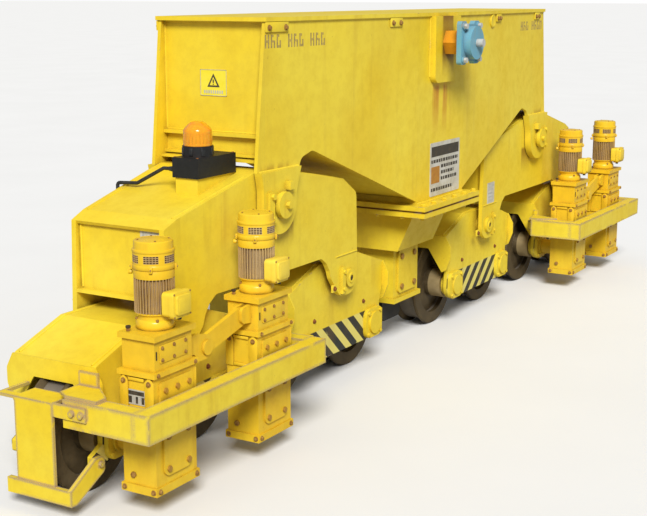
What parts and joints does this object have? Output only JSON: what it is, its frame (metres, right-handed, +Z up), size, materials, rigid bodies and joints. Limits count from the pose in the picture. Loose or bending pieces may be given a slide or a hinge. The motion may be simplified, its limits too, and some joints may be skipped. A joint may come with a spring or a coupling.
{
  "type": "rail-mounted travelling bogie carriage",
  "caption": "Worn yellow rail-mounted travelling carriage with a deep box beam, tilting equaliser beams, wheeled bogies and upright geared motor drives.",
  "frame": {"origin": "on the floor under the wheel flanges, midway along the machine and midway between the two outermost side faces", "axes": "+X along the rail towards the end with the buffer, +Y away from the motor side, +Z up"},
  "size_m": [7.952, 1.636, 2.56],
  "materials": {
    "yellow_paint": "worn gloss",
    "drive_yellow": "worn gloss",
    "blue_paint": "satin",
    "wheel_steel": "rough",
    "bright_steel": "satin",
    "buffer_steel": "worn",
    "black_block": "matt",
    "black_plastic": "matt",
    "amber_lens": "clear gloss",
    "reflector": "polished",
    "cable_rubber": "matt"
  },
  "bodies": {
    "main_beam": {"top_flange": "yellow_paint", "web_near": "yellow_paint", "web_far": "yellow_paint", "soffit_plates": "yellow_paint", "end_plates": "yellow_paint", "beam_lugs": "yellow_paint", "main_pins": "yellow_paint", "trunnion_lugs": "yellow_paint", "trunnion_stubs": "yellow_paint", "joint_flange": "yellow_paint", "hanger_trough": "yellow_paint", "clamp_housing": "yellow_paint"},
    "rail_clamp": {"clamp_shoe": "black_block"},
    "bearing_near": {"bearing_unit_near": "blue_paint"},
    "bearing_far": {"bearing_unit_far": "blue_paint"},
    "equaliser_left": {"eq_left_sides": "yellow_paint", "eq_left_covers": "yellow_paint", "eq_left_pins": "yellow_paint", "beacon_box": "black_plastic", "beacon_lens": "amber_lens", "beacon_cable": "cable_rubber"},
    "beacon_rotor": {"beacon_reflector": "reflector"},
    "equaliser_right": {"eq_right_sides": "yellow_paint", "eq_right_covers": "yellow_paint", "eq_right_pins": "yellow_paint", "buffer_housing": "yellow_paint"},
    "buffer": {"buffer_plunger": "buffer_steel"},
    "bogie_inner_left": {"bogie_inner_left_sides": "yellow_paint", "bogie_inner_left_shell": "yellow_paint", "bogie_inner_left_caps": "yellow_paint"},
    "wheel_inner_left_1": {"wheel_inner_left_1": "wheel_steel"},
    "wheel_inner_left_2": {"wheel_inner_left_2": "wheel_steel"},
    "bogie_outer_left": {"bogie_outer_left_sides": "yellow_paint", "bogie_outer_left_shell": "yellow_paint", "bogie_outer_left_caps": "yellow_paint", "gear_cases_left": "drive_yellow", "motor_housings_left": "drive_yellow", "bumper_left": "yellow_paint", "rail_guard_left": "yellow_paint"},
    "wheel_outer_left_1": {"wheel_outer_left_1": "wheel_steel"},
    "rotor_left_1": {"rotor_left_1": "bright_steel"},
    "wheel_outer_left_2": {"wheel_outer_left_2": "wheel_steel"},
    "rotor_left_2": {"rotor_left_2": "bright_steel"},
    "bogie_inner_right": {"bogie_inner_right_sides": "yellow_paint", "bogie_inner_right_shell": "yellow_paint", "bogie_inner_right_caps": "yellow_paint"},
    "wheel_inner_right_1": {"wheel_inner_right_1": "wheel_steel"},
    "wheel_inner_right_2": {"wheel_inner_right_2": "wheel_steel"},
    "bogie_outer_right": {"bogie_outer_right_sides": "yellow_paint", "bogie_outer_right_shell": "yellow_paint", "bogie_outer_right_caps": "yellow_paint", "gear_cases_right": "drive_yellow", "motor_housings_right": "drive_yellow", "bumper_right": "yellow_paint", "rail_guard_right": "yellow_paint"},
    "wheel_outer_right_1": {"wheel_outer_right_1": "wheel_steel"},
    "rotor_right_1": {"rotor_right_1": "bright_steel"},
    "wheel_outer_right_2": {"wheel_outer_right_2": "wheel_steel"},
    "rotor_right_2": {"rotor_right_2": "bright_steel"}
  },
  "joints": [
    {"name": "equaliser_left_tilt", "type": "hinge", "parent": "main_beam", "child": "equaliser_left", "pos_m": [-2.133, 0, 1.429], "axis": [0, 1, 0], "range_deg": [-2.5, 2.5]},
    {"name": "bogie_inner_left_tilt", "type": "hinge", "parent": "equaliser_left", "child": "bogie_inner_left", "pos_m": [-1.183, 0, 0.781], "axis": [0, 1, 0], "range_deg": [-4, 4]},
    {"name": "wheel_inner_left_1_spin", "type": "hinge", "parent": "bogie_inner_left", "child": "wheel_inner_left_1", "pos_m": [-1.658, 0, 0.35], "axis": [0, 1, 0], "continuous": true},
    {"name": "wheel_inner_left_2_spin", "type": "hinge", "parent": "bogie_inner_left", "child": "wheel_inner_left_2", "pos_m": [-0.708, 0, 0.35], "axis": [0, 1, 0], "continuous": true},
    {"name": "bogie_outer_left_tilt", "type": "hinge", "parent": "equaliser_left", "child": "bogie_outer_left", "pos_m": [-3.083, 0, 0.781], "axis": [0, 1, 0], "range_deg": [-4, 4]},
    {"name": "wheel_outer_left_1_spin", "type": "hinge", "parent": "bogie_outer_left", "child": "wheel_outer_left_1", "pos_m": [-3.558, 0, 0.35], "axis": [0, 1, 0], "continuous": true},
    {"name": "rotor_left_1_spin", "type": "hinge", "parent": "bogie_outer_left", "child": "rotor_left_1", "pos_m": [-3.558, -0.566, 1.2], "axis": [0, 0, 1], "continuous": true},
    {"name": "wheel_outer_left_2_spin", "type": "hinge", "parent": "bogie_outer_left", "child": "wheel_outer_left_2", "pos_m": [-2.608, 0, 0.35], "axis": [0, 1, 0], "continuous": true},
    {"name": "rotor_left_2_spin", "type": "hinge", "parent": "bogie_outer_left", "child": "rotor_left_2", "pos_m": [-2.608, -0.566, 1.2], "axis": [0, 0, 1], "continuous": true},
    {"name": "equaliser_right_tilt", "type": "hinge", "parent": "main_beam", "child": "equaliser_right", "pos_m": [2.133, 0, 1.429], "axis": [0, 1, 0], "range_deg": [-2.5, 2.5]},
    {"name": "bogie_inner_right_tilt", "type": "hinge", "parent": "equaliser_right", "child": "bogie_inner_right", "pos_m": [1.183, 0, 0.781], "axis": [0, 1, 0], "range_deg": [-4, 4]},
    {"name": "wheel_inner_right_1_spin", "type": "hinge", "parent": "bogie_inner_right", "child": "wheel_inner_right_1", "pos_m": [1.658, 0, 0.35], "axis": [0, 1, 0], "continuous": true},
    {"name": "wheel_inner_right_2_spin", "type": "hinge", "parent": "bogie_inner_right", "child": "wheel_inner_right_2", "pos_m": [0.708, 0, 0.35], "axis": [0, 1, 0], "continuous": true},
    {"name": "bogie_outer_right_tilt", "type": "hinge", "parent": "equaliser_right", "child": "bogie_outer_right", "pos_m": [3.083, 0, 0.781], "axis": [0, 1, 0], "range_deg": [-4, 4]},
    {"name": "wheel_outer_right_1_spin", "type": "hinge", "parent": "bogie_outer_right", "child": "wheel_outer_right_1", "pos_m": [3.558, 0, 0.35], "axis": [0, 1, 0], "continuous": true},
    {"name": "rotor_right_1_spin", "type": "hinge", "parent": "bogie_outer_right", "child": "rotor_right_1", "pos_m": [3.558, -0.566, 1.2], "axis": [0, 0, 1], "continuous": true},
    {"name": "wheel_outer_right_2_spin", "type": "hinge", "parent": "bogie_outer_right", "child": "wheel_outer_right_2", "pos_m": [2.608, 0, 0.35], "axis": [0, 1, 0], "continuous": true},
    {"name": "rotor_right_2_spin", "type": "hinge", "parent": "bogie_outer_right", "child": "rotor_right_2", "pos_m": [2.608, -0.566, 1.2], "axis": [0, 0, 1], "continuous": true},
    {"name": "bearing_near_turn", "type": "hinge", "parent": "main_beam", "child": "bearing_near", "pos_m": [0, -0.72, 2.345], "axis": [0, 1, 0], "range_deg": [-20, 20]},
    {"name": "bearing_far_turn", "type": "hinge", "parent": "main_beam", "child": "bearing_far", "pos_m": [0, 0.72, 2.345], "axis": [0, 1, 0], "range_deg": [-20, 20]},
    {"name": "rail_clamp_lower", "type": "slide", "parent": "main_beam", "child": "rail_clamp", "axis": [0, 0, -1], "range_m": [0, 0.14]},
    {"name": "beacon_spin", "type": "hinge", "parent": "equaliser_left", "child": "beacon_rotor", "pos_m": [-2.606, -0.159, 1.82], "axis": [0, 0, 1], "continuous": true},
    {"name": "buffer_press", "type": "slide", "parent": "equaliser_right", "child": "buffer", "axis": [-1, 0, 0], "range_m": [0, 0.075], "stiffness_N_per_m": 60000}
  ],
  "couplings": [
    {"joint": "rotor_left_1_spin", "follows": "wheel_outer_left_1_spin", "ratio": 18},
    {"joint": "rotor_left_2_spin", "follows": "wheel_outer_left_2_spin", "ratio": 18},
    {"joint": "rotor_right_1_spin", "follows": "wheel_outer_right_1_spin", "ratio": 18},
    {"joint": "rotor_right_2_spin", "follows": "wheel_outer_right_2_spin", "ratio": 18}
  ]
}
